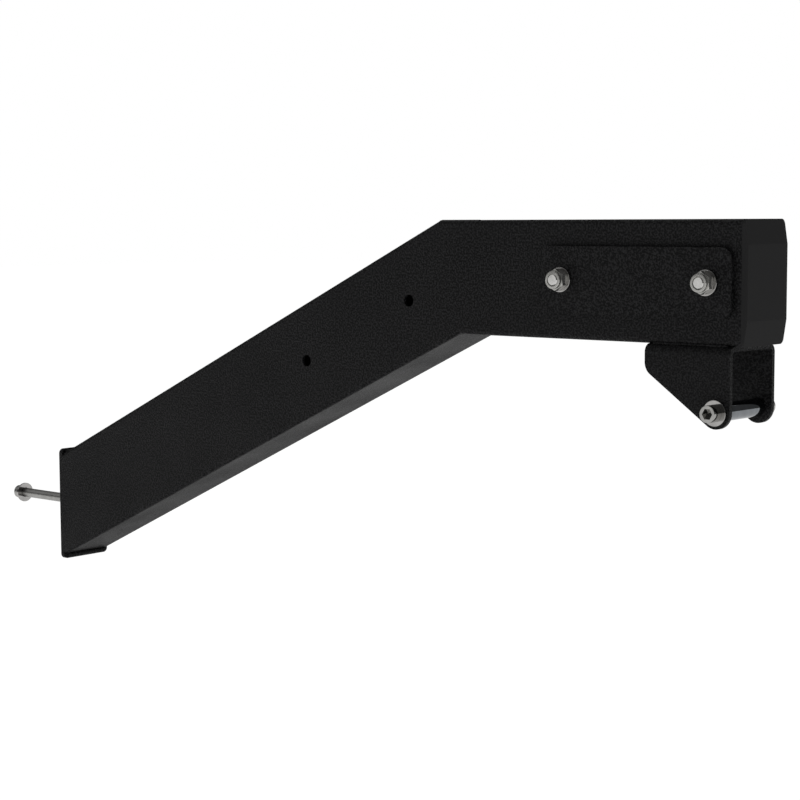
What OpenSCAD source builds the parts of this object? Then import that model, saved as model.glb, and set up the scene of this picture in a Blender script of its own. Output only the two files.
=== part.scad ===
// Bent cantilever arm for a training frame. A welded box-section arm has a bolt-through
// mounting plate at its low end and a clevis with a roller under its outer end.
// Origin: centre of the mounting plate's back face. +X runs outward, +Z is up.

/* [Box section] */
// Height of the box section
tube_h = 100; // [80:1:140]
// Width of the box section
tube_w = 60; // [50:1:80]
// Wall thickness of the box section
tube_wall = 3; // [2:0.5:5]
// Outer corner radius of the box section
tube_r = 4; // [3:0.5:8]

/* [Arm] */
// Angle by which the low run slopes below level
bend_deg = 25; // [10:1:35]
// Length of the sloped run on its centreline
slope_len = 603; // [420:1:800]
// Length of the level run on its centreline
run_len = 297; // [270:1:450]
// Width of the ground weld in the mitre
weld_w = 2; // [1:0.5:3]

/* [Cross holes] */
// Distance between the two holes of a pair
hole_pitch = 142; // [90:1:150]
// First sloped hole, measured from the bend
slope_hole_at = 52; // [40:1:90]
// First level hole, measured from the bend
run_hole_at = 125.5; // [100:0.5:130]
// How much wider a hole is than its bolt
hole_play = 1; // [0.5:0.1:2]

/* [Mounting plate] */
// Thickness of the mounting plate
plate_t = 5; // [4:0.5:12]
// How far the plate stands proud above and below the tube
plate_lip = 4.8; // [3:0.1:15]
// Corner radius of the mounting plate
plate_r = 5; // [2:0.5:12]
// Radius of the fillet welds on the plate
bead_r = 3; // [2:0.25:4]
// Depth of the upright that the mounting bolt goes through
upright_d = 100; // [50:1:150]
// How far the mounting bolt passes its nut
bolt_past = 3; // [1:0.5:10]

/* [Clamp plates] */
// Thickness of a clamp plate
clamp_t = 4; // [3:0.5:8]
// Height of a clamp plate
clamp_h = 56; // [40:1:70]
// Clamp plate length beyond each bolt
clamp_end = 23; // [15:0.5:26]
// Corner radius of a clamp plate
clamp_r = 10; // [4:0.5:18]

/* [Clevis] */
// Length of the clevis along the arm
clevis_len = 80; // [60:1:120]
// Gap from the tube's end to the clevis
clevis_inset = 7; // [2:0.5:30]
// Sheet thickness of the clevis
clevis_t = 4; // [3:0.5:6]
// Inside radius of the two folds
fold_r = 3; // [2:0.5:5]
// Depth of the roller's axis below the tube
clevis_drop = 52.5; // [40:0.5:80]
// Ear left below the centre line of the washer
nose_margin = 2.5; // [1:0.5:8]
// Depth of the rounded back corner's centre
ear_back = 15; // [12:0.5:20]
// Radius of the rounded back corner
ear_back_r = 12; // [4:0.5:16]
// Radius of the weld beads along the clevis
seam_r = 1.2; // [1:0.1:3]
// How deep the beads melt into the tube and the clevis
seam_bite = 0.5; // [0.3:0.1:0.8]
// Weld left off at each end of the clevis
seam_short = 6; // [4:1:20]

/* [Roller] */
// Outer diameter of the roller
roller_d = 15; // [13:0.5:24]
// Radial running clearance on the bolt
roller_play = 0.05; // [0.02:0.01:0.1]
// Clearance at each end of the roller
roller_end = 0.3; // [0.2:0.05:1]

/* [Crush sleeves] */
// Outer diameter of a crush sleeve
sleeve_d = 16; // [15:0.5:24]

/* [End cap] */
// Thickness of the cap at its top and bottom edges
cap_rim = 2.4; // [1.5:0.1:5]
// Rise of the cap's flat centre above that
cap_rise = 3.1; // [1:0.1:6]
// Height of each sloping band of the cap
cap_bevel = 20; // [8:1:30]
// Depth of the plug inside the tube
plug_len = 16; // [10:1:18]
// Wall thickness of the plug
plug_wall = 2.5; // [1.5:0.5:4]
// Height of the gripping ribs
rib_h = 3; // [2:0.5:5]
// Thickness of one rib
rib_t = 1.2; // [0.8:0.1:2]
// Number of ribs
rib_n = 3; // [2:1:4]
// Clearance between ribs and tube
rib_play = 0.05; // [0.02:0.01:0.2]

/* [Fasteners] */
// Bolt diameter
bolt_d = 10; // [8:0.5:12]
// Radial gap that stands in for the thread
thread_play = 0.05; // [0.02:0.01:0.1]
// Head diameter of the cap screws
head_d = 14; // [14:0.5:19]
// Head height of the cap screws
head_h = 10; // [7:0.5:12]
// Width across flats of the hex sockets
socket_af = 8; // [6:1:10]
// Depth of the hex sockets
socket_deep = 8; // [4:0.5:9]
// Chamfer on the heads
head_cut = 0.3; // [0.2:0.1:1]
// Chamfer on the bolt tips
tip_cut = 0.8; // [0.3:0.1:1.2]
// Washer diameter
washer_d = 21; // [20:0.5:26]
// Washer thickness
washer_t = 2; // [1.5:0.1:3]
// How much wider a washer's hole is than its bolt
washer_play = 0.5; // [0.3:0.1:1]
// Nut width across flats
nut_af = 16; // [16:0.5:20]
// Height of a nut
nut_h = 10; // [8:0.5:12]
// Angle at which the tightened nuts stand
nut_turn = 30; // [0:1:59]
// Diameter of the lock nut's collar
collar_d = 15; // [14.5:0.1:15.5]
// Height of the lock nut's collar
collar_h = 3; // [2.5:0.1:4]
// Thickness of the collar around the nylon
collar_wall = 1.2; // [0.8:0.1:1.4]
// Thickness of the rolled lip over the nylon
lip_h = 0.6; // [0.4:0.1:1]
// Radial gap between the rolled lip and the bolt
lip_play = 0.3; // [0.2:0.1:0.5]
// How far a bolt stands out of its lock nut
bolt_out = 0.3; // [0.1:0.1:5]

/* [Hidden] */
$fn = 72;

BLACK = "#1d1d1e";
STEEL = "#b4b2ac";
far = 2 * (slope_len + run_len);            // larger than the arm in any direction
bend_x = plate_t + slope_len * cos(bend_deg);
bend_z = slope_len * sin(bend_deg);
run_end_x = bend_x + run_len;
tube_floor_z = bend_z - tube_h / 2;
inner_r = max(tube_r - tube_wall, 0.5);
cut_h = tube_h / cos(bend_deg);             // height of the tube's upright cut
plate_h = cut_h + 2 * plate_lip;
hole_d = bolt_d + hole_play;
rear_x = bend_x + run_hole_at;
front_x = rear_x + hole_pitch;
clamp_face = tube_w / 2 + clamp_t;          // outer face of a clamp plate
cross_seat = clamp_face + washer_t;         // seat of a cross bolt's head or nut
clevis_w = tube_w + 2 * clevis_t;
clevis_seat = clevis_w / 2 + washer_t;
clevis_front = run_end_x - clevis_inset;
clevis_back = clevis_front - clevis_len;
fold_out = fold_r + clevis_t;                // outside radius of the folds
nose_r = washer_d / 2 + nose_margin;
pivot_x = clevis_front - nose_r;
pivot_z = tube_floor_z - clevis_drop;
insert_r = collar_d / 2 - collar_wall;
insert_h = collar_h - lip_h;

// Rectangle with round corners, centred
module rounded_rect(w, h, r) {
    square([w - 2 * r, h], center = true);
    square([w, h - 2 * r], center = true);
    for (x = [-1, 1])
        for (y = [-1, 1])
            translate([x * (w / 2 - r), y * (h / 2 - r)])
                circle(r);
}

// Extrudes an outline along +X: its x becomes Y and its y becomes Z
module along_x(length) {
    rotate([90, 0, 90])
        linear_extrude(length)
            children();
}

// Extrudes an outline given in X and Z, centred on Y
module across_y(width) {
    translate([0, width / 2, 0])
        rotate([90, 0, 0])
            linear_extrude(width)
                children();
}

// Puts what stands on the XY plane onto the near (-Y) or far (+Y) side
module near_side(x, y, z) {
    translate([x, -y, z])
        rotate([90, 0, 0])
            children();
}

module far_side(x, y, z) {
    translate([x, y, z])
        rotate([-90, 0, 0])
            children();
}

// ---- box section and its mitre ----

module section() {
    difference() {
        rounded_rect(tube_w, tube_h, tube_r);
        rounded_rect(tube_w - 2 * tube_wall, tube_h - 2 * tube_wall, inner_r);
    }
}

module level_run(over) {
    translate([bend_x - over, 0, bend_z])
        along_x(run_len + over)
            children();
}

// Sloped run, ended by the plate's front face
module sloped_run(over) {
    difference() {
        translate([bend_x, 0, bend_z])
            rotate([0, -bend_deg, 0])
                translate([-slope_len - tube_h, 0, 0])
                    along_x(slope_len + tube_h + over)
                        children();
        translate([plate_t - far, -far / 2, -far / 2])
            cube(far);
    }
}

// The space between two planes beside the mitre, at distances d0 and d1 from it
module mitre_slab(d0, d1) {
    translate([bend_x, 0, bend_z])
        rotate([0, -bend_deg / 2, 0])
            translate([d0, -far / 2, -far / 2])
                cube([d1 - d0, far, far]);
}

module cross_hole(d) {
    rotate([90, 0, 0])
        cylinder(d = d, h = 2 * tube_w, center = true);
}

module horizontal_tube() {
    color(BLACK)
        difference() {
            level_run(tube_h)
                section();
            mitre_slab(-far, weld_w / 2);
            for (x = [rear_x, front_x])
                translate([x, 0, bend_z])
                    cross_hole(hole_d);
        }
}

module sloped_tube() {
    color(BLACK)
        difference() {
            sloped_run(tube_h)
                section();
            mitre_slab(-weld_w / 2, far);
            for (along = [slope_hole_at, slope_hole_at + hole_pitch])
                translate([bend_x - along * cos(bend_deg), 0,
                           bend_z - along * sin(bend_deg)])
                    cross_hole(hole_d);
        }
}

module mitre_weld() {
    mitre_h = tube_h / cos(bend_deg / 2);
    bore_h = (tube_h - 2 * tube_wall) / cos(bend_deg / 2);
    color(BLACK)
        translate([bend_x, 0, bend_z])
            rotate([0, -bend_deg / 2, 0])
                translate([-weld_w / 2, 0, 0])
                    along_x(weld_w)
                        difference() {
                            rounded_rect(tube_w, mitre_h, tube_r);
                            rounded_rect(tube_w - 2 * tube_wall, bore_h, inner_r);
                        }
}

// ---- mounting plate ----

module mounting_plate() {
    color(BLACK)
        along_x(plate_t)
            difference() {
                rounded_rect(tube_w, plate_h, plate_r);
                circle(d = hole_d);
            }
}

// Fillet bead where the tube's top (side 1) or bottom (side -1) meets the plate
module plate_bead(side) {
    reach = tube_w / 2 - tube_r - bead_r;
    color(BLACK)
        difference() {
            translate([plate_t + bead_r / 3, 0, side * (cut_h / 2 + bead_r / 3)]) {
                rotate([90, 0, 0])
                    cylinder(r = bead_r, h = 2 * reach, center = true);
                for (y = [-reach, reach])
                    translate([0, y, 0])
                        sphere(bead_r);
            }
            sloped_run(0)
                rounded_rect(tube_w, tube_h, tube_r);
            translate([plate_t - far, -far / 2, -far / 2])
                cube(far);
        }
}

module upper_plate_weld() {
    plate_bead(1);
}

module lower_plate_weld() {
    plate_bead(-1);
}

// ---- fasteners: each stands on its seat at z = 0 ----

// Cap screw: head above the seat, shank of the given length below it
module cap_screw(length) {
    color(STEEL)
        difference() {
            rotate_extrude()
                polygon([
                    [0, -length],
                    [bolt_d / 2 - tip_cut, -length],
                    [bolt_d / 2, -length + tip_cut],
                    [bolt_d / 2, 0],
                    [head_d / 2, 0],
                    [head_d / 2, head_h - head_cut],
                    [head_d / 2 - head_cut, head_h],
                    [0, head_h]
                ]);
            translate([0, 0, head_h - socket_deep])
                cylinder(d = socket_af / cos(30), h = socket_deep + 1, $fn = 6);
        }
}

// Washer, lying below its seat
module washer() {
    color(STEEL)
        translate([0, 0, -washer_t])
            linear_extrude(washer_t)
                difference() {
                    circle(d = washer_d);
                    circle(d = bolt_d + washer_play);
                }
}

// Hexagon of height h with its outer corners turned off at the top
module hex_body(h) {
    corner_r = nut_af / cos(30) / 2;
    flat_r = nut_af / 2;
    cut = (corner_r - flat_r) * tan(30);
    intersection() {
        rotate([0, 0, nut_turn])
            cylinder(r = corner_r, h = h, $fn = 6);
        rotate_extrude()
            polygon([
                [0, 0],
                [flat_r, 0],
                [corner_r, cut],
                [corner_r, h - cut],
                [flat_r, h],
                [0, h]
            ]);
    }
}

module nut_bore(h) {
    translate([0, 0, -1])
        cylinder(d = bolt_d + 2 * thread_play, h = h + 2);
}

module lock_nut() {
    color(STEEL)
        difference() {
            union() {
                hex_body(nut_h - collar_h);
                rotate_extrude()
                    polygon([
                        [0, nut_h - collar_h],
                        [collar_d / 2, nut_h - collar_h],
                        [collar_d / 2, nut_h - lip_h],
                        [collar_d / 2 - lip_h, nut_h],
                        [0, nut_h]
                    ]);
            }
            nut_bore(nut_h);
            translate([0, 0, nut_h - collar_h])
                cylinder(r = insert_r, h = insert_h);
            translate([0, 0, nut_h - collar_h])
                cylinder(r = bolt_d / 2 + lip_play, h = collar_h + 1);
        }
}

module nut_insert() {
    color("#d8d8d2")
        translate([0, 0, nut_h - collar_h])
            difference() {
                cylinder(r = insert_r, h = insert_h);
                nut_bore(insert_h);
            }
}

// ---- mounting bolt: through the upright, the plate and a welded nut ----

module mounting_nut() {
    color(STEEL)
        translate([plate_t, 0, 0])
            rotate([0, 90, 0])
                difference() {
                    hex_body(nut_h);
                    nut_bore(nut_h);
                }
}

module mounting_bolt() {
    grip = washer_t + upright_d + plate_t + nut_h + bolt_past;
    translate([-upright_d - washer_t, 0, 0])
        rotate([0, -90, 0])
            cap_screw(grip);
}

module mounting_washer() {
    translate([-upright_d - washer_t, 0, 0])
        rotate([0, -90, 0])
            washer();
}

// ---- clamp plates and the two cross bolts ----

module clamp_plate() {
    color(BLACK)
        linear_extrude(clamp_t)
            difference() {
                rounded_rect(hole_pitch + 2 * clamp_end, clamp_h, clamp_r);
                for (x = [-hole_pitch / 2, hole_pitch / 2])
                    translate([x, 0])
                        circle(d = hole_d);
            }
}

module near_clamp_plate() {
    near_side((rear_x + front_x) / 2, tube_w / 2, bend_z)
        clamp_plate();
}

module far_clamp_plate() {
    far_side((rear_x + front_x) / 2, tube_w / 2, bend_z)
        clamp_plate();
}

// Spacer tube that stops a cross bolt from crushing the box section
module crush_sleeve(x) {
    color(STEEL)
        translate([x, 0, bend_z])
            difference() {
                rotate([90, 0, 0])
                    cylinder(d = sleeve_d, h = tube_w - 2 * tube_wall, center = true);
                cross_hole(hole_d);
            }
}

module rear_crush_sleeve() {
    crush_sleeve(rear_x);
}

module front_crush_sleeve() {
    crush_sleeve(front_x);
}

module cross_bolt(x) {
    far_side(x, cross_seat, bend_z)
        cap_screw(2 * cross_seat + nut_h + bolt_out);
}

module rear_cross_bolt() {
    cross_bolt(rear_x);
}

module front_cross_bolt() {
    cross_bolt(front_x);
}

module rear_head_washer() {
    far_side(rear_x, cross_seat, bend_z)
        washer();
}

module front_head_washer() {
    far_side(front_x, cross_seat, bend_z)
        washer();
}

module rear_nut_washer() {
    near_side(rear_x, cross_seat, bend_z)
        washer();
}

module front_nut_washer() {
    near_side(front_x, cross_seat, bend_z)
        washer();
}

module rear_lock_nut() {
    near_side(rear_x, cross_seat, bend_z)
        lock_nut();
}

module front_lock_nut() {
    near_side(front_x, cross_seat, bend_z)
        lock_nut();
}

module rear_nut_insert() {
    near_side(rear_x, cross_seat, bend_z)
        nut_insert();
}

module front_nut_insert() {
    near_side(front_x, cross_seat, bend_z)
        nut_insert();
}

// ---- end cap: bevelled cover with a ribbed hollow plug ----

module end_cap() {
    plug_w = tube_w - 2 * tube_wall - 2 * rib_h;
    plug_h = tube_h - 2 * tube_wall - 2 * rib_h;
    rib_step = plug_len / rib_n;
    color("#232324")
        translate([run_end_x, 0, bend_z]) {
            intersection() {
                along_x(cap_rim + cap_rise)
                    rounded_rect(tube_w, tube_h, tube_r);
                across_y(tube_w)
                    polygon([
                        [0, -tube_h / 2],
                        [cap_rim, -tube_h / 2],
                        [cap_rim + cap_rise, -tube_h / 2 + cap_bevel],
                        [cap_rim + cap_rise, tube_h / 2 - cap_bevel],
                        [cap_rim, tube_h / 2],
                        [0, tube_h / 2]
                    ]);
            }
            translate([-plug_len, 0, 0])
                along_x(plug_len)
                    difference() {
                        rounded_rect(plug_w, plug_h, inner_r);
                        rounded_rect(plug_w - 2 * plug_wall, plug_h - 2 * plug_wall,
                                     inner_r);
                    }
            for (i = [0:rib_n - 1])
                translate([-plug_len + (i + 0.25) * rib_step, 0, 0])
                    along_x(rib_t)
                        difference() {
                            rounded_rect(tube_w - 2 * (tube_wall + rib_play),
                                         tube_h - 2 * (tube_wall + rib_play), inner_r);
                            rounded_rect(plug_w - plug_wall, plug_h - plug_wall,
                                         inner_r);
                        }
        }
}

// ---- clevis: folded sheet with two ears, welded under the tube ----

// Side outline of the ears in X and Z: round nose, straight slope, round back corner
module ear_outline() {
    back = [clevis_back + ear_back_r, tube_floor_z - ear_back];
    nose = [pivot_x, pivot_z];
    span = norm(nose - back);
    fall = atan2(nose[1] - back[1], nose[0] - back[0]);
    turn = fall - acos((ear_back_r - nose_r) / span);
    normal = [cos(turn), sin(turn)];
    polygon([
        [clevis_back, tube_floor_z],
        [clevis_back, back[1]],
        back + ear_back_r * normal,
        nose + nose_r * normal,
        nose,
        [clevis_front, pivot_z],
        [clevis_front, tube_floor_z]
    ]);
    translate(back)
        circle(ear_back_r);
    translate(nose)
        circle(nose_r);
}

// End view of the folded sheet in Y and Z, with open space below
module fold_outline(width, r) {
    depth = clevis_drop + nose_r + r;
    translate([0, tube_floor_z - depth / 2])
        rounded_rect(width, depth, r);
}

module clevis_body() {
    intersection() {
        translate([clevis_back, 0, 0])
            along_x(clevis_len)
                fold_outline(clevis_w, fold_out);
        across_y(clevis_w)
            ear_outline();
    }
}

module clevis_bracket() {
    color(BLACK)
        difference() {
            clevis_body();
            translate([clevis_back - 1, 0, -clevis_t])
                along_x(clevis_len + 2)
                    fold_outline(tube_w, fold_r);
            translate([pivot_x, 0, pivot_z])
                cross_hole(hole_d);
        }
}

// Bead in the groove between the tube's corner and the sheet's fold. Its axis is where
// circles round the two arcs' centres meet, so that it bites equally into both
module clevis_bead(side) {
    first = clevis_back + seam_short;
    last = clevis_front - seam_short;
    tube_c = [tube_w / 2 - tube_r, tube_r];
    fold_c = [clevis_w / 2 - fold_out, -fold_out];
    tube_reach = tube_r + seam_r - seam_bite;
    fold_reach = fold_out + seam_r - seam_bite;
    apart = norm(fold_c - tube_c);
    down = (fold_c - tube_c) / apart;
    along = (tube_reach ^ 2 - fold_reach ^ 2 + apart ^ 2) / (2 * apart);
    out = sqrt(tube_reach ^ 2 - along ^ 2);
    axis = tube_c + along * down + out * [-down[1], down[0]];
    color(BLACK)
        difference() {
            translate([0, side * axis[0], tube_floor_z + axis[1]]) {
                translate([first, 0, 0])
                    rotate([0, 90, 0])
                        cylinder(r = seam_r, h = last - first);
                for (x = [first, last])
                    translate([x, 0, 0])
                        sphere(seam_r);
            }
            level_run(0)
                rounded_rect(tube_w, tube_h, tube_r);
            clevis_body();
        }
}

module near_clevis_weld() {
    clevis_bead(-1);
}

module far_clevis_weld() {
    clevis_bead(1);
}

module clevis_bolt() {
    near_side(pivot_x, clevis_seat, pivot_z)
        cap_screw(2 * clevis_seat + nut_h + bolt_out);
}

module clevis_head_washer() {
    near_side(pivot_x, clevis_seat, pivot_z)
        washer();
}

module clevis_nut_washer() {
    far_side(pivot_x, clevis_seat, pivot_z)
        washer();
}

module clevis_lock_nut() {
    far_side(pivot_x, clevis_seat, pivot_z)
        lock_nut();
}

module clevis_nut_insert() {
    far_side(pivot_x, clevis_seat, pivot_z)
        nut_insert();
}

module clevis_roller() {
    color("#c4c6c8")
        translate([pivot_x, 0, pivot_z])
            difference() {
                rotate([90, 0, 0])
                    cylinder(d = roller_d, h = tube_w - 2 * roller_end, center = true);
                cross_hole(bolt_d + 2 * roller_play);
            }
}

horizontal_tube();
sloped_tube();
mitre_weld();
mounting_plate();
upper_plate_weld();
lower_plate_weld();
mounting_nut();
mounting_bolt();
mounting_washer();
near_clamp_plate();
far_clamp_plate();
rear_crush_sleeve();
front_crush_sleeve();
rear_cross_bolt();
front_cross_bolt();
rear_head_washer();
front_head_washer();
rear_nut_washer();
front_nut_washer();
rear_lock_nut();
front_lock_nut();
rear_nut_insert();
front_nut_insert();
end_cap();
clevis_bracket();
near_clevis_weld();
far_clevis_weld();
clevis_bolt();
clevis_head_washer();
clevis_nut_washer();
clevis_lock_nut();
clevis_nut_insert();
clevis_roller();
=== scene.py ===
"""A bent cantilever arm for a training frame, dressed for the camera.

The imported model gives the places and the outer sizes. What its boxes don't tell, such as
bores, collars and edges, is named here. Lengths are in metres unless a name says otherwise."""

import bpy
import bmesh
import numpy as np
from mathutils import Matrix, Vector


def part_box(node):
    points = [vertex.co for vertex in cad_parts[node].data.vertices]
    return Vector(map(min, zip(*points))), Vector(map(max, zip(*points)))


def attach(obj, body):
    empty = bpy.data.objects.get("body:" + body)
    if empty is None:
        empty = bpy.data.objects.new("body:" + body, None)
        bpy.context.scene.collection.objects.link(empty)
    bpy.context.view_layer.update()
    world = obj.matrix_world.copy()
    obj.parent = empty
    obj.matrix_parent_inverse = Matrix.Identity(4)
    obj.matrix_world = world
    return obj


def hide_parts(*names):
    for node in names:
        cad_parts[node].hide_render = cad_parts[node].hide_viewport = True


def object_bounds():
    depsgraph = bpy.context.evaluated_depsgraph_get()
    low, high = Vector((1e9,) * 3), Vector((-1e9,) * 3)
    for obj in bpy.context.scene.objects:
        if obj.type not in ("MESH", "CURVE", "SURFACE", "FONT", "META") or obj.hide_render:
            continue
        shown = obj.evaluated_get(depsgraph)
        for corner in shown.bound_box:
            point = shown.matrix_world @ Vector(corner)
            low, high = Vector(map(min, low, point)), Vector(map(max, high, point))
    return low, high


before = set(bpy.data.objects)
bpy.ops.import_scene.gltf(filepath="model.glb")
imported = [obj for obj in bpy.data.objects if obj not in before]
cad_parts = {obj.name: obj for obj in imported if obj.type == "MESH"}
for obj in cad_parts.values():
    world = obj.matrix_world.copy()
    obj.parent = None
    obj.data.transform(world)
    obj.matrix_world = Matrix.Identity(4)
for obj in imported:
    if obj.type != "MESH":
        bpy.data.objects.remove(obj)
cad_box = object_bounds()
MM = 0.001

# ---- Camera -----------------------------------------------------------------
# A long lens near the arm's outer end, level with the top of the level run,
# looking back along the arm and a little down.
CAMERA_AT = Vector((1.62367, -1.30799, 0.30470))
YAW, PITCH, ROLL = np.radians([41.487, -5.430, -0.242])
LENS_MM, SENSOR_MM = 85.02, 36.0
SIGHT = 60.0

camera = bpy.data.objects.new("camera", bpy.data.cameras.new("camera"))
camera.data.lens = LENS_MM
camera.data.sensor_width = SENSOR_MM
camera.data.clip_end = SIGHT
camera.matrix_world = (
    Matrix.Translation(CAMERA_AT)
    @ Matrix.Rotation(YAW, 4, "Z")
    @ Matrix.Rotation(np.pi / 2 + PITCH, 4, "X")
    @ Matrix.Rotation(ROLL, 4, "Z")
)
bpy.context.scene.collection.objects.link(camera)
bpy.context.scene.camera = camera

# ---- Floor and studio light ---------------------------------------------------
# A pale floor well below the arm, and a plain studio round it: white to the camera, dim
# to the arm, and lit by two large soft lamps. The floor glows, as a lit white sweep
# does, and a painted shadow dims that glow in a patch below the arm.
FLOOR_DROP = 0.55
FLOOR_REACH = 30.0
FLOOR_TONE = 0.2
FLOOR_GLOW = 0.80
# painted shadow of the arm on the floor's glow: the glow inside it, and where it fades out
SHADOW_GLOW = 0.05
SHADOW_INNER, SHADOW_OUTER = 0.1, 0.75
ROOM_LIGHT = 0.09
WHITE = 1.0

low, high = (Vector(corner) for corner in cad_box)
middle = (low + high) / 2


def feed(tree, value, entry):
    """Links a node's output to an entry, or sets the entry to a plain value."""
    if isinstance(value, bpy.types.NodeSocket):
        tree.links.new(value, entry)
    else:
        entry.default_value = value


def remap(tree, value, source, target, smooth=False):
    """Carries a value from one range to another, in a straight line or an S-curve."""
    node = tree.nodes.new("ShaderNodeMapRange")
    node.interpolation_type = "SMOOTHSTEP" if smooth else "LINEAR"
    ends = ("From Min", "From Max", "To Min", "To Max")
    for end, given in zip(ends, (*source, *target)):
        feed(tree, given, node.inputs[end])
    tree.links.new(value, node.inputs["Value"])
    return node.outputs["Result"]


def seen_and_felt(tree, felt):
    """A strength that is WHITE where the camera looks straight at a surface, and another
    where the surface only lights or is mirrored in the object."""
    path = tree.nodes.new("ShaderNodeLightPath")
    return remap(tree, path.outputs["Is Camera Ray"], (0, 1), (felt, WHITE))


def floor_glow(tree):
    """Glow with a painted shadow of the arm: it falls from FLOOR_GLOW to SHADOW_GLOW towards
    the line below the arm, by the distance from the arm's middle, with the way along the
    arm halved."""
    place, squeezed, away = (tree.nodes.new("ShaderNode" + kind)
                             for kind in ("TexCoord", "Mapping", "VectorMath"))
    squeezed.inputs["Location"].default_value = (-middle.x / 2, 0, FLOOR_DROP - low.z)
    squeezed.inputs["Scale"].default_value = (0.5, 1, 1)
    away.operation = "LENGTH"
    tree.links.new(place.outputs["Object"], squeezed.inputs["Vector"])
    tree.links.new(squeezed.outputs["Vector"], away.inputs[0])
    return remap(tree, away.outputs["Value"], (SHADOW_INNER, SHADOW_OUTER),
                 (SHADOW_GLOW, FLOOR_GLOW), smooth=True)


pale = bpy.data.materials.new("pale floor")
pale.use_nodes = True
sweep = pale.node_tree.nodes["Principled BSDF"]
sweep.inputs["Base Color"].default_value = (FLOOR_TONE, FLOOR_TONE, FLOOR_TONE, 1)
sweep.inputs["Roughness"].default_value = 1.0
sweep.inputs["Specular IOR Level"].default_value = 0.0
sweep.inputs["Emission Color"].default_value = (1, 1, 1, 1)
pale.node_tree.links.new(seen_and_felt(pale.node_tree, floor_glow(pale.node_tree)),
                         sweep.inputs["Emission Strength"])
floor_mesh = bpy.data.meshes.new("floor")
floor_mesh.from_pydata(
    [(x, y, low.z - FLOOR_DROP) for x, y in
     ((-FLOOR_REACH, -FLOOR_REACH), (FLOOR_REACH, -FLOOR_REACH),
      (FLOOR_REACH, FLOOR_REACH), (-FLOOR_REACH, FLOOR_REACH))], [], [(0, 1, 2, 3)])
floor = bpy.data.objects.new("floor", floor_mesh)
floor.data.materials.append(pale)
bpy.context.scene.collection.objects.link(floor)

room = bpy.data.worlds.new("white room")
room.use_nodes = True
backdrop = room.node_tree.nodes["Background"]
backdrop.inputs["Color"].default_value = (1, 1, 1, 1)
room.node_tree.links.new(seen_and_felt(room.node_tree, ROOM_LIGHT),
                         backdrop.inputs["Strength"])
bpy.context.scene.world = room
bpy.context.scene.view_settings.view_transform = "Standard"


def soft_light(name, offset, size, power):
    """A square lamp at an offset from the arm's middle, turned towards it."""
    lamp = bpy.data.lights.new(name, "AREA")
    lamp.size, lamp.energy = size, power
    spot = bpy.data.objects.new(name, lamp)
    spot.location = middle + Vector(offset)
    spot.rotation_euler = (middle - spot.location).to_track_quat("-Z", "Y").to_euler()
    bpy.context.scene.collection.objects.link(spot)


soft_light("overhead light", (-0.3, 0.8, 2.6), size=4.4, power=22)
soft_light("left light", (-1.7, -1.0, 1.7), size=2.6, power=5.5)

# ---- Box section: two tubes and the ground weld in the mitre --------------------
# Steel box section, cut at the bend, welded all round, ground flush and finished in
# a black powder that cures to a fine pebbled texture.
# painted shade for the valleys between the coat's pebbles
VALLEY_SHADE = (0.003, 0.003, 0.0033, 1)
COAT_SHEEN = 0.14
COAT_ROUGHNESS = 0.50


def calculate(tree, operation, *values):
    """One Math node on two or three values."""
    node = tree.nodes.new("ShaderNodeMath")
    node.operation = operation
    for value, entry in zip(values, node.inputs):
        feed(tree, value, entry)
    return node.outputs[0]


def noise(tree, where, scale, detail=2.0, roughness=0.5):
    """The value of a Noise texture at given coordinates; scale is in lumps per metre."""
    node = tree.nodes.new("ShaderNodeTexNoise")
    tree.links.new(where, node.inputs["Vector"])
    feed(tree, scale, node.inputs["Scale"])
    node.inputs["Detail"].default_value = detail
    node.inputs["Roughness"].default_value = roughness
    return node.outputs["Fac"]


def blend(tree, share, first, second):
    """A colour between two colours, by a share from 0 to 1."""
    node = tree.nodes.new("ShaderNodeMix")
    node.data_type = "RGBA"
    for value, entry in ((share, "Factor"), (first, "A"), (second, "B")):
        feed(tree, value, node.inputs[entry])
    return node.outputs["Result"]


def finish_group(name, inputs):
    """A node group for a surface finish, with inputs as (name, kind, value), and with a
    colour, a roughness and a height as outputs. Gives the group, its inputs' sockets,
    the entries of its outputs, and the object's coordinates."""
    group = bpy.data.node_groups.new(name, "ShaderNodeTree")
    for label, kind, value in inputs:
        group.interface.new_socket(name=label, in_out="INPUT",
                                   socket_type=kind).default_value = value
    for label, kind in (("Color", "NodeSocketColor"), ("Roughness", "NodeSocketFloat"),
                        ("Height", "NodeSocketFloat")):
        group.interface.new_socket(name=label, in_out="OUTPUT", socket_type=kind)
    entry, leave, place = (group.nodes.new(kind) for kind in
                           ("NodeGroupInput", "NodeGroupOutput", "ShaderNodeTexCoord"))
    return group, entry.outputs, leave.inputs, place.outputs["Object"]


def pebble_group():
    """Texture of powder coat: lumps of a given size for the pebbles, a finer noise over
    them, and slow patches where the coat is a little thicker and duller. The valleys
    between the pebbles carry painted shade, darker than the pebbles' tops."""
    group, given, out, where = finish_group("powder texture", (
        ("Valley", "NodeSocketColor", (0.004, 0.004, 0.004, 1)),
        ("Peak", "NodeSocketColor", (0.03, 0.03, 0.03, 1)),
        ("Pebble", "NodeSocketFloat", 700.0),
        ("Roughness", "NodeSocketFloat", 0.6),
    ))
    finer = calculate(group, "MULTIPLY", given["Pebble"], 2.7)
    pebbles = noise(group, where, given["Pebble"], detail=1.0, roughness=0.45)
    fine = noise(group, where, finer)
    patches = noise(group, where, 14.0, detail=3.0)
    lumps = remap(group, pebbles, (0.40, 0.66), (0, 1), smooth=True)
    duller = remap(group, patches, (0.3, 0.7), (-0.05, 0.07))
    link = group.links.new
    # the lumps that raise the pebbles also paint their valleys darker: painted shade
    link(blend(group, lumps, given["Valley"], given["Peak"]), out["Color"])
    link(calculate(group, "ADD", given["Roughness"], duller), out["Roughness"])
    link(calculate(group, "MULTIPLY_ADD", fine, 0.3, lumps), out["Height"])
    return group


powder_texture = pebble_group()


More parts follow.
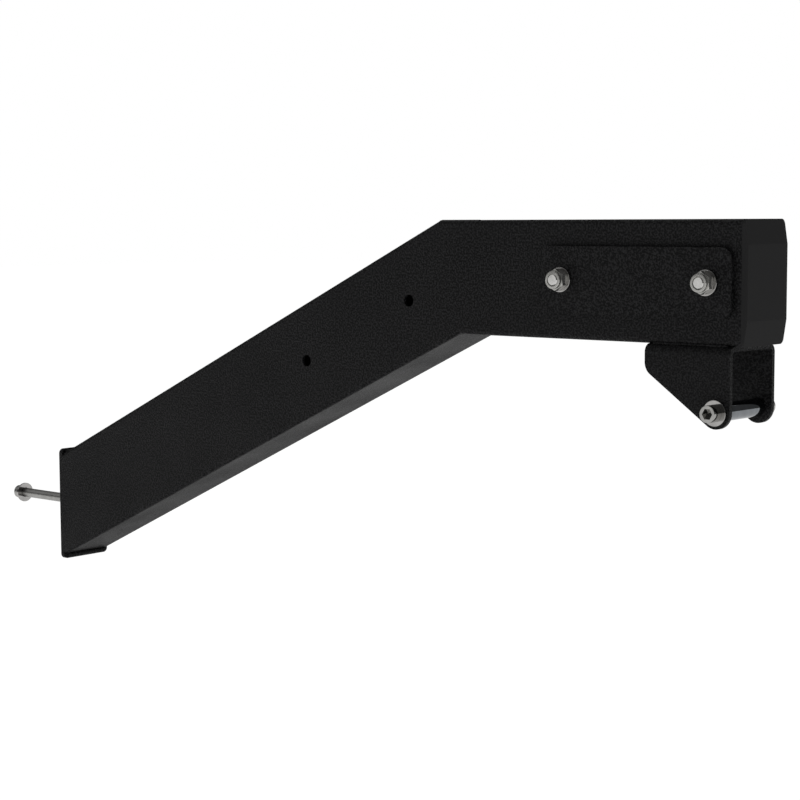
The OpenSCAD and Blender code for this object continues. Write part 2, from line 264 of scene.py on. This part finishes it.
def new_material(name, metallic=0.0, specular=0.5):
    """A node material, with its tree and its Principled shader."""
    material = bpy.data.materials.new(name)
    material.use_nodes = True
    tree = material.node_tree
    shader = tree.nodes["Principled BSDF"]
    shader.inputs["Metallic"].default_value = metallic
    shader.inputs["Specular IOR Level"].default_value = specular
    return material, tree, shader


def bumped(tree, shader, height, strength, distance):
    """Sends a height through a Bump node to the shader's normal."""
    bump = tree.nodes.new("ShaderNodeBump")
    bump.inputs["Strength"].default_value = strength
    bump.inputs["Distance"].default_value = distance
    tree.links.new(height, bump.inputs["Height"])
    tree.links.new(bump.outputs["Normal"], shader.inputs["Normal"])


def finished(tree, shader, group, strength, distance, **values):
    """Places a finish group with its own values and wires it to the shader."""
    finish = tree.nodes.new("ShaderNodeGroup")
    finish.node_tree = group
    for label, value in values.items():
        finish.inputs[label].default_value = value
    tree.links.new(finish.outputs["Color"], shader.inputs["Base Color"])
    tree.links.new(finish.outputs["Roughness"], shader.inputs["Roughness"])
    bumped(tree, shader, finish.outputs["Height"], strength, distance)


def coated(name, peak, pebble, depth):
    """Black powder coat: tone of the pebbles' tops, their number per metre and depth."""
    material, tree, shader = new_material(name, specular=COAT_SHEEN)
    finished(tree, shader, powder_texture, 1.0, depth, Valley=VALLEY_SHADE,
             Peak=(peak, peak, 1.04 * peak, 1), Pebble=pebble, Roughness=COAT_ROUGHNESS)
    return material


def dress(node, material):
    """Gives a CAD node its material."""
    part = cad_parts[node]
    part.data.materials.clear()
    part.data.materials.append(material)
    return part


SHARP_EDGE = np.radians(35)


def soften(node, material, width, segments=3):
    """Dresses a CAD node and rounds its sharp edges by a small width: its loose
    triangles are welded, then every edge sharper than SHARP_EDGE is bevelled."""
    part = dress(node, material)
    weld = part.modifiers.new("weld", "WELD")
    weld.merge_threshold = 0.002 * MM
    round_off = part.modifiers.new("rounded edges", "BEVEL")
    round_off.width = width
    round_off.segments = segments
    round_off.limit_method = "ANGLE"
    round_off.angle_limit = SHARP_EDGE
    round_off.harden_normals = False


tube_coat = coated("tube powder coat", 0.026, 600.0, 0.22 * MM)
for node in ("horizontal_tube", "sloped_tube", "mitre_weld"):
    dress(node, tube_coat)

# ---- Mounting plate and its fillet welds --------------------------------------
# Laser-cut plate, MIG welded across the top and bottom of the tube's cut end and
# coated with it.
CREASE = np.radians(25)
# a darker copy of the tube's coat: painted shade on the plate and its beads
shaded_plate_coat = coated("plate powder coat", 0.0245, 600.0, 0.24 * MM)
soften("mounting_plate", shaded_plate_coat, 0.5 * MM)


def grid_piece(name, points, material, body, close_rows=False, stands_for=()):
    """A closed surface from a grid of points, rows by columns by 3. The columns always
    join up; the rows join up too on a ring, and otherwise end in a point. Edges sharper
    than CREASE stay crisp."""
    rows, columns = points.shape[:2]
    index = np.arange(rows * columns).reshape(rows, columns)
    turn = np.roll(index, -1, axis=1)
    if close_rows:
        a, b = index, turn
        c, d = np.roll(turn, -1, axis=0), np.roll(index, -1, axis=0)
    else:
        a, b, c, d = index[:-1], turn[:-1], turn[1:], index[1:]
    faces = np.stack([a, b, c, d], axis=-1).reshape(-1, 4)
    mesh = bpy.data.meshes.new(name)
    mesh.from_pydata(points.reshape(-1, 3).tolist(), [], faces.tolist())
    shell = bmesh.new()
    shell.from_mesh(mesh)
    bmesh.ops.remove_doubles(shell, verts=shell.verts, dist=0.001 * MM)
    bmesh.ops.recalc_face_normals(shell, faces=shell.faces)
    shell.to_mesh(mesh)
    shell.free()
    mesh.shade_smooth()
    mesh.set_sharp_from_angle(angle=CREASE)
    piece = bpy.data.objects.new(name, mesh)
    piece.data.materials.append(material)
    bpy.context.scene.collection.objects.link(piece)
    flat = piece.modifiers.new("flat faces stay flat", "WEIGHTED_NORMAL")
    flat.keep_sharp = True
    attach(piece, body)
    if stands_for:
        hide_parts(*stands_for)
    return piece


SWELL = 0.07
BEAD_COLUMNS = 28
ROWS_PER_RIPPLE = 10


def weld_bead(name, node, start, end, radius, ripple, material):
    """A laid weld: a rod from start to end with round ends, whose radius swells and
    sinks in ripples that lag behind towards its sides, as a cooling pool leaves them.
    radius(s, a) = R * round_end(s) * (1 + SWELL * cos(2 pi * (s / ripple + cos(a) / 4)))."""
    start, end = np.array(start), np.array(end)
    length = np.linalg.norm(end - start)
    forward = (end - start) / length
    side = np.cross(forward, (0, 0, 1))
    upward = np.cross(side, forward)
    s = np.linspace(-radius, length + radius, int(length / ripple * ROWS_PER_RIPPLE))
    over = np.clip(np.maximum(-s, s - length) / radius, 0, 1)
    s, over = s[:, None], over[:, None]
    a = np.linspace(0, 2 * np.pi, BEAD_COLUMNS, endpoint=False)[None, :]
    wave = 1 + SWELL * np.cos(2 * np.pi * (s / ripple + np.cos(a) / 4))
    r = radius * np.sqrt(1 - over ** 2) * wave
    points = (start + s[..., None] * forward
              + (r * np.cos(a))[..., None] * side + (r * np.sin(a))[..., None] * upward)
    grid_piece(name, points, material, "arm", stands_for=(node,))


plate_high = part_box("mounting_plate")[1]
tube_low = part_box("horizontal_tube")[0]
BEAD, BEAD_RIPPLE = 3.0 * MM, 2.2 * MM
for side, node in ((1, "upper_plate_weld"), (-1, "lower_plate_weld")):
    bead_low, bead_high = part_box(node)
    outer_z = bead_high.z if side > 0 else bead_low.z
    across = bead_high.y - BEAD
    centre = (plate_high.x + BEAD / 3, 0, outer_z - side * BEAD)
    weld_bead(node.replace("_weld", "_bead"), node,
              (centre[0], -across, centre[2]), (centre[0], across, centre[2]),
              BEAD, BEAD_RIPPLE, shaded_plate_coat)

# ---- Fasteners -------------------------------------------------------------------
# M10 stainless cap screws, washers and lock nuts. Turned and cold-formed, so they
# carry faint turning marks; the threads are rolled.
COLUMNS = 96
PITCH_M10 = 1.5 * MM
ROWS_PER_TURN = 8
SHANK_R = 5.0 * MM
SOCKET_AF = 8.0 * MM
SOCKET_DEEP = 8.0 * MM
NUT_AF = 16.0 * MM
NUT_TURN = np.radians(30)
COLLAR_R, COLLAR_H = 7.5 * MM, 3.0 * MM
LIP_R, LIP_H = 5.3 * MM, 0.6 * MM
NUT_BORE_R = 5.05 * MM
NUT_LEAD = 0.5 * MM
WASHER_BORE_R = 5.25 * MM

angle = np.linspace(0, 2 * np.pi, COLUMNS, endpoint=False)[None, :]


def stand(points, seat, facing):
    """Turns a fastener that stands on z = 0 so that its z points the way it faces
    (near is -Y, far is +Y, back is -X), and puts its foot on the seat."""
    x, y, z = points[..., 0], points[..., 1], points[..., 2]
    turned = {"near": (x, -z, y), "far": (x, z, -y), "back": (-z, y, x)}[facing]
    return np.stack(turned, axis=-1) + np.array(seat)


def hexagon(across_flats):
    """Radius of a hexagon at each angle, with a corner on the x axis."""
    return across_flats / 2 / np.cos(np.mod(angle, np.pi / 3) - np.pi / 6)


def spin(radius, height, turn=0.0):
    """Grid from a radius and a height for each row, or for each row and angle, turned
    about its axis."""
    radius, height = (np.broadcast_to(v, (len(v), COLUMNS)) for v in (radius, height))
    return np.stack([radius * np.cos(angle + turn), radius * np.sin(angle + turn), height],
                    axis=-1)


def corner(r0, z0, r1, z1, bulge_out=True, steps=6):
    """Quarter turn from (r0, z0) to (r1, z1): radius goes by cosine and height by sine,
    or the other way round, as two columns."""
    t = np.linspace(0, np.pi / 2, steps)
    if bulge_out:
        return np.stack([r0 + (r1 - r0) * np.sin(t), z0 + (z1 - z0) * (1 - np.cos(t))], 1)
    return np.stack([r0 + (r1 - r0) * (1 - np.cos(t)), z0 + (z1 - z0) * np.sin(t)], 1)


def column(array):
    """A list of values as a column, one for each row of the grid."""
    return np.asarray(array, float)[:, None]


def cap_screw(name, node, seat, facing, body, head_r, head_h, length, thread, material):
    """Socket head cap screw: from the pole on the socket's flat floor, up the hexagonal
    wall, over the head's crisp edge, round the fillet under the head, down the shank and
    along the thread to the tip.
    Thread: radius = shank - root * wave(z / pitch + angle / 2 pi), where wave is a
    triangle cut flat at its crest, fading in over one turn at each end."""
    hex_wall = hexagon(SOCKET_AF)
    floor_z = head_h - SOCKET_DEEP
    crisp, edge, fillet = 0.15 * MM, 0.35 * MM, 0.6 * MM
    tip_cut, root = 0.8 * MM, 0.85 * MM
    rows = [
        spin(np.vstack([hex_wall * 0.0, hex_wall * 0.97, hex_wall, hex_wall,
                        hex_wall + crisp]),
             column([floor_z, floor_z, floor_z + crisp, head_h - crisp, head_h])),
    ]
    outside = np.vstack([
        corner(head_r - edge, head_h, head_r, head_h - edge),
        corner(head_r, edge, head_r - edge, 0.0, bulge_out=False, steps=4),
        corner(SHANK_R + fillet, 0.0, SHANK_R, -fillet, steps=4),
    ])
    rows.append(spin(outside[:, :1], outside[:, 1:]))
    start, tip = -(length - thread), -length
    z = np.linspace(start, tip + tip_cut, int(thread / PITCH_M10 * ROWS_PER_TURN))[:, None]
    fade = np.clip(np.minimum(start - z, z - tip - tip_cut) / PITCH_M10, 0, 1)
    saw = np.abs(np.mod(z / PITCH_M10 + angle / (2 * np.pi), 1.0) * 2 - 1)
    wave = np.clip(saw * 1.3 - 0.2, 0, 1)
    rows.append(spin(SHANK_R - root * wave * fade, z))
    rows.append(spin(column([SHANK_R - tip_cut, 0.0]), column([tip, tip])))
    points = stand(np.concatenate(rows), seat, facing)
    grid_piece(name, points, material, body, stands_for=(node,))


def ring(name, node, seat, facing, body, profile, material):
    """A turned ring: a closed outline of radius and height, spun about the axis."""
    profile = np.asarray(profile)
    points = stand(spin(profile[:, :1], profile[:, 1:]), seat, facing)
    grid_piece(name, points, material, body, close_rows=True, stands_for=(node,))


def washer(name, node, seat, facing, body, outer, thick, material):
    """Stamped washer: rolled over at the top edge and sharper at the burr side."""
    bore, roll, burr = WASHER_BORE_R, 0.35 * MM, 0.15 * MM
    profile = np.vstack([
        [[bore + burr, -thick], [bore, -thick + burr], [bore, -roll]],
        corner(bore, -roll / 2, bore + roll / 2, 0, bulge_out=False, steps=4),
        corner(outer - roll, 0, outer, -roll, steps=5),
        [[outer, -thick + burr], [outer - burr, -thick]],
    ])
    ring(name, node, seat, facing, body, profile, material)


def lock_nut(name, node, seat, facing, height, insert_r, material):
    """Nylon lock nut. The hexagon's radius is the least of the hexagon itself and two
    30 degree cones that turn its corners off; above it stands a collar whose top is
    rolled flat over the nylon; inside, the seat of the ring and the bore."""
    hex_top = height - COLLAR_H
    cut = (NUT_AF / np.sqrt(3) - NUT_AF / 2) * np.tan(np.pi / 6)
    z = np.concatenate([np.linspace(0, cut, 8), np.linspace(hex_top - cut, hex_top, 8)])
    z = z[:, None]
    cone = NUT_AF / 2 + np.minimum(z, hex_top - z) * np.sqrt(3)
    foot, roll, crisp = 0.2 * MM, 0.5 * MM, 0.1 * MM
    collar = np.vstack([
        corner(COLLAR_R + foot, hex_top, COLLAR_R, hex_top + foot, steps=4),
        corner(COLLAR_R, height - roll, COLLAR_R - roll, height, bulge_out=False),
        [[LIP_R + crisp, height], [LIP_R, height - crisp], [LIP_R, height - LIP_H],
         [insert_r, height - LIP_H], [insert_r, hex_top], [NUT_BORE_R, hex_top],
         [NUT_BORE_R, NUT_LEAD], [NUT_BORE_R + NUT_LEAD, 0]],
    ])
    points = np.concatenate([spin(np.minimum(hexagon(NUT_AF), cone), z, NUT_TURN),
                             spin(collar[:, :1], collar[:, 1:], NUT_TURN)])
    grid_piece(name, stand(points, seat, facing), material, "arm",
               close_rows=True, stands_for=(node,))


def insert_ring(name, node, seat, facing, outer, foot, top, material):
    """Nylon ring, squeezed to a low dome where the thread has gone through it."""
    bore, rise, t = NUT_BORE_R, 0.35 * MM, np.linspace(0, np.pi, 9)
    dome = np.stack([(outer + bore) / 2 + (outer - bore) / 2 * np.cos(t),
                     top - rise + rise * np.sin(t)], axis=1)
    profile = np.vstack([[[bore, foot], [outer, foot]], dome])
    ring(name, node, seat, facing, "arm", profile, material)


def steel_group():
    """Turned or rolled steel: fine scratches drawn out round the part, faint smears of
    handling oil, and a slow change of tone."""
    group, given, out, where = finish_group("steel finish", (
        ("Color", "NodeSocketColor", (0.5, 0.5, 0.5, 1)),
        ("Roughness", "NodeSocketFloat", 0.25),
        ("Stretch", "NodeSocketVector", (1, 1, 1)),
        ("Smears", "NodeSocketFloat", 0.1),
    ))
    drawn, shade = (group.nodes.new("ShaderNodeVectorMath") for _ in range(2))
    link = group.links.new
    drawn.operation = "MULTIPLY"
    link(where, drawn.inputs[0])
    link(given["Stretch"], drawn.inputs[1])
    scratches = noise(group, drawn.outputs["Vector"], 1.0, detail=3.0)
    smears = noise(group, where, 160.0, detail=3.0)
    shade.operation = "SCALE"
    link(given["Color"], shade.inputs[0])
    link(remap(group, smears, (0.3, 0.7), (0.82, 1.08)), shade.inputs["Scale"])
    link(shade.outputs["Vector"], out["Color"])
    link(calculate(group, "MULTIPLY_ADD", smears, given["Smears"], given["Roughness"]),
         out["Roughness"])
    link(scratches, out["Height"])
    return group


steel_finish = steel_group()
SCRATCH_STRENGTH = 0.25


def steel(name, color, roughness, stretch, smears=0.12, depth=0.01 * MM, metallic=1.0):
    """Bare steel whose scratches are drawn out along the axis with the least stretch."""
    material, tree, shader = new_material(name, metallic=metallic)
    finished(tree, shader, steel_finish, SCRATCH_STRENGTH, depth, Color=(*color, 1),
             Roughness=roughness, Stretch=stretch, Smears=smears)
    return material


def nylon_material():
    """Natural nylon: milky, a little mottled, with a soft sheen."""
    material, tree, shader = new_material("natural nylon")
    place = tree.nodes.new("ShaderNodeTexCoord")
    mottle = noise(tree, place.outputs["Object"], 900.0)
    tone = blend(tree, mottle, (0.50, 0.50, 0.46, 1), (0.66, 0.66, 0.62, 1))
    tree.links.new(tone, shader.inputs["Base Color"])
    shader.inputs["Roughness"].default_value = 0.42
    bumped(tree, shader, mottle, 0.2, 0.05 * MM)
    return material


STAINLESS = (0.39, 0.385, 0.37)
SCREW_THREAD = 26 * MM
nut_steel = steel("cold-formed stainless", (0.52, 0.515, 0.49), 0.10, (1400, 1400, 1400),
                  0.08, metallic=0.75)
screw_steel = steel("rolled stainless", STAINLESS, 0.06, (500, 2500, 500), 0.05)
# a lighter copy of the screws' stainless for the cross bolts, whose ends show: painted light
lit_tip_steel = steel("stainless painted lighter", (0.69, 0.685, 0.665), 0.05, (500, 2500, 500), 0.05)
washer_steel = steel("tumbled stainless", (0.45, 0.44, 0.43), 0.06, (900, 900, 900), 0.05)
nylon = nylon_material()

SIDES = {-1: "near", 1: "far"}


def end_y(node, side):
    """Where a node ends on one side of the arm."""
    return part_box(node)[side > 0].y


def bolt_axis(node):
    """Where a bolt that runs across the arm has its axis, along the arm and in height."""
    start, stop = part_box(node)
    return (start.x + stop.x) / 2, (start.z + stop.z) / 2


def through_bolt(which, bolt, side, thread_steel):
    """A cap screw across the arm with its head on the given side, a washer at each end,
    and a lock nut with its nylon ring on the other side."""
    head_washer, nut_washer = f"{which}_head_washer", f"{which}_nut_washer"
    nut, insert = f"{which}_lock_nut", f"{which}_nut_insert"
    (x, z), facing, away = bolt_axis(bolt), SIDES[side], SIDES[-side]
    head_seat = (x, end_y(head_washer, side), z)
    nut_seat = (x, end_y(nut_washer, -side), z)
    bolt_low, bolt_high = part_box(bolt)
    ring_low, ring_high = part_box(insert)
    cap_screw(f"{which}_cap_screw", bolt, head_seat, facing, "arm",
              (bolt_high.x - bolt_low.x) / 2, side * (end_y(bolt, side) - head_seat[1]),
              side * (head_seat[1] - end_y(bolt, -side)), SCREW_THREAD, thread_steel)
    for node, seat, turned in ((head_washer, head_seat, facing), (nut_washer, nut_seat, away)):
        flat_low, flat_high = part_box(node)
        washer(f"{which}_{turned}_washer", node, seat, turned, "arm",
               (flat_high.x - flat_low.x) / 2, flat_high.y - flat_low.y, washer_steel)
    ring_r, foot_y = (ring_high.x - ring_low.x) / 2, end_y(nut, side)
    lock_nut(f"{which}_nylon_nut", nut, nut_seat, away,
             side * (foot_y - end_y(nut, -side)), ring_r, nut_steel)
    insert_ring(f"{which}_nylon_ring", insert, nut_seat, away, ring_r,
                side * (foot_y - end_y(insert, side)),
                side * (foot_y - end_y(insert, -side)), nylon)


# the two cross bolts: head on the far side, lock nut on the near side
for which in ("rear", "front"):
    through_bolt(which, f"{which}_cross_bolt", 1, lit_tip_steel)

# ---- Mounting bolt, its washer and the nut behind the plate ------------------------
# A long stainless cap screw goes through the upright and the plate, and into a mild
# steel nut welded inside the tube. Screwed out, it draws clear with its washer.
LONG_THREAD = 32 * MM
plain_low, plain_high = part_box("mounting_washer")
long_low, long_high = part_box("mounting_bolt")
back_seat = (plain_low.x, 0, 0)
cap_screw("long_cap_screw", "mounting_bolt", back_seat, "back", "long_bolt",
          (long_high.z - long_low.z) / 2, plain_low.x - long_low.x,
          long_high.x - plain_low.x, LONG_THREAD,
          steel("long bolt stainless", (0.42, 0.415, 0.40), 0.28, (2500, 500, 500)))
washer("long_bolt_washer", "mounting_washer", back_seat, "back", "bolt_washer",
       (plain_high.z - plain_low.z) / 2, plain_high.x - plain_low.x, washer_steel)
oiled_steel = steel("oiled mild steel", (0.30, 0.29, 0.27), 0.38, (800, 800, 800), 0.2)
dress("mounting_nut", oiled_steel)

# ---- Clamp plates and crush sleeves ----------------------------------------------
# Laser-cut plates with round corners, coated apart from the arm in a coarser batch
# of powder. The sleeves inside stop the bolts from crushing the box section.
clamp_coat = coated("clamp powder coat", 0.0262, 640.0, 0.28 * MM)
for node in ("near_clamp_plate", "far_clamp_plate"):
    soften(node, clamp_coat, 0.3 * MM)
for node in ("rear_crush_sleeve", "front_crush_sleeve"):
    dress(node, oiled_steel)

# ---- End cap ----------------------------------------------------------------------
# One moulding in black polyethylene, pressed into the tube. Its face is plain, with
# the fine even grain of a spark-eroded mould.


def moulded_material():
    """Black polyethylene: even mould grain and slow, faint changes of gloss."""
    material, tree, shader = new_material("moulded cap", specular=0.12)
    place = tree.nodes.new("ShaderNodeTexCoord")
    grain, sheen = (noise(tree, place.outputs["Object"], scale) for scale in (3200.0, 30.0))
    gloss = remap(tree, sheen, (0, 1), (0.68, 0.78))
    tone = blend(tree, sheen, (0.026, 0.026, 0.0265, 1), (0.029, 0.029, 0.0295, 1))
    tree.links.new(gloss, shader.inputs["Roughness"])
    tree.links.new(tone, shader.inputs["Base Color"])
    bumped(tree, shader, grain, 0.15, 0.02 * MM)
    return material


soften("end_cap", moulded_material(), 0.8 * MM, 4)

# ---- Clevis bracket, its welds and bolt --------------------------------------------
# Folded from one laser-cut sheet, welded along both folds under the tube and coated
# with it. A cap screw joins the ears and carries the roller.
# a darker copy of the tube's coat: painted shade on the clevis and its seams
shaded_clevis_coat = coated("clevis powder coat", 0.0235, 680.0, 0.24 * MM)
soften("clevis_bracket", shaded_clevis_coat, 0.45 * MM)

SEAM, SEAM_RISE, SEAM_RIPPLE = 1.2 * MM, 0.42 * MM, 1.8 * MM
for side, node in ((-1, "near_clevis_weld"), (1, "far_clevis_weld")):
    seam_low, seam_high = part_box(node)
    seam_y = (seam_high.y if side > 0 else seam_low.y) - side * SEAM
    seam_z = tube_low.z + SEAM_RISE
    weld_bead(node.replace("_weld", "_bead"), node,
              (seam_low.x + SEAM, seam_y, seam_z), (seam_high.x - SEAM, seam_y, seam_z),
              SEAM, SEAM_RIPPLE, shaded_clevis_coat)

through_bolt("clevis", "clevis_bolt", -1, screw_steel)

# ---- Roller ------------------------------------------------------------------------
# Seamless steel tube, cut to length, polished and chromed. It is free to turn on the
# bolt between the ears.
ROLLER_BORE_R, ROLLER_EDGE, BORE_CUT = 5.05 * MM, 0.25 * MM, 0.3 * MM
roll_low, roll_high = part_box("clevis_roller")
half, roll_r = (roll_high.y - roll_low.y) / 2, (roll_high.z - roll_low.z) / 2
roller_x, roller_z = bolt_axis("clevis_bolt")
tube_outline = np.vstack([
    [[ROLLER_BORE_R, -half + BORE_CUT], [ROLLER_BORE_R + BORE_CUT, -half]],
    corner(roll_r - ROLLER_EDGE, -half, roll_r, -half + ROLLER_EDGE),
    corner(roll_r, half - ROLLER_EDGE, roll_r - ROLLER_EDGE, half, bulge_out=False),
    [[ROLLER_BORE_R + BORE_CUT, half], [ROLLER_BORE_R, half - BORE_CUT]],
])
ring("polished_roller", "clevis_roller", (roller_x, 0, roller_z), "far", "roller",
     tube_outline, steel("polished chrome", (0.21, 0.222, 0.235), 0.04,
                         (200, 4000, 200), 0.05, 0.002 * MM))
